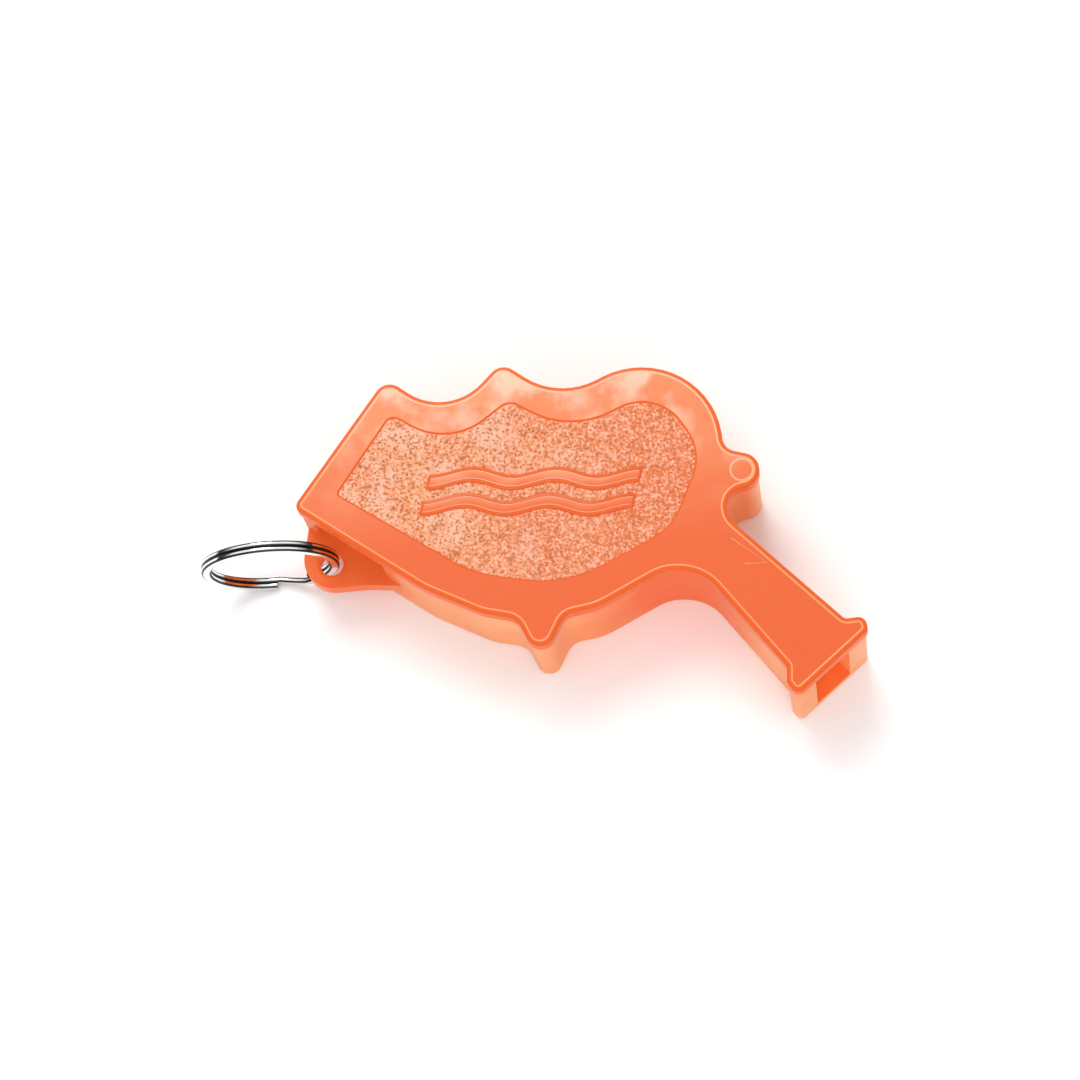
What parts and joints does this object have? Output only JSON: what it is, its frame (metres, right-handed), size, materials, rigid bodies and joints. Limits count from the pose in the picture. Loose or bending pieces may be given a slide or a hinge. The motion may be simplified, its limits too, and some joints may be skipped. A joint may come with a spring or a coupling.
{
  "type": "safety whistle",
  "caption": "Flat pea whistle with a scalloped grip, round sound chamber, angled mouth tube and a split ring on a tab.",
  "frame": {"origin": "where the sound chamber's axis meets the rear face", "axes": "+Z out of the front cover, +X from the grip towards the sound chamber, +Y towards the scalloped edge"},
  "size_m": [0.0963, 0.0481, 0.0201],
  "materials": {
    "housing_plastic": "satin moulded, slightly translucent",
    "cover_plastic": "satin moulded, grained panel",
    "cork": "matt cork",
    "ring_steel": "bright nickel plate"
  },
  "bodies": {
    "housing": {"rear_shell": "housing_plastic", "front_cover": "cover_plastic"},
    "pea_ball": {"pea": "cork"},
    "ring": {"split_ring": "ring_steel"}
  },
  "joints": [
    {"name": "pea_circling", "type": "hinge", "parent": "housing", "child": "pea_ball", "pos_m": [0, 0, 0.00665], "axis": [0, 0, 1], "continuous": true},
    {"name": "ring_swing", "type": "hinge", "parent": "housing", "child": "ring", "pos_m": [-0.0451, -0.015, 0.0067], "axis": [0, 0, 1], "range_deg": [-45, 130]}
  ]
}
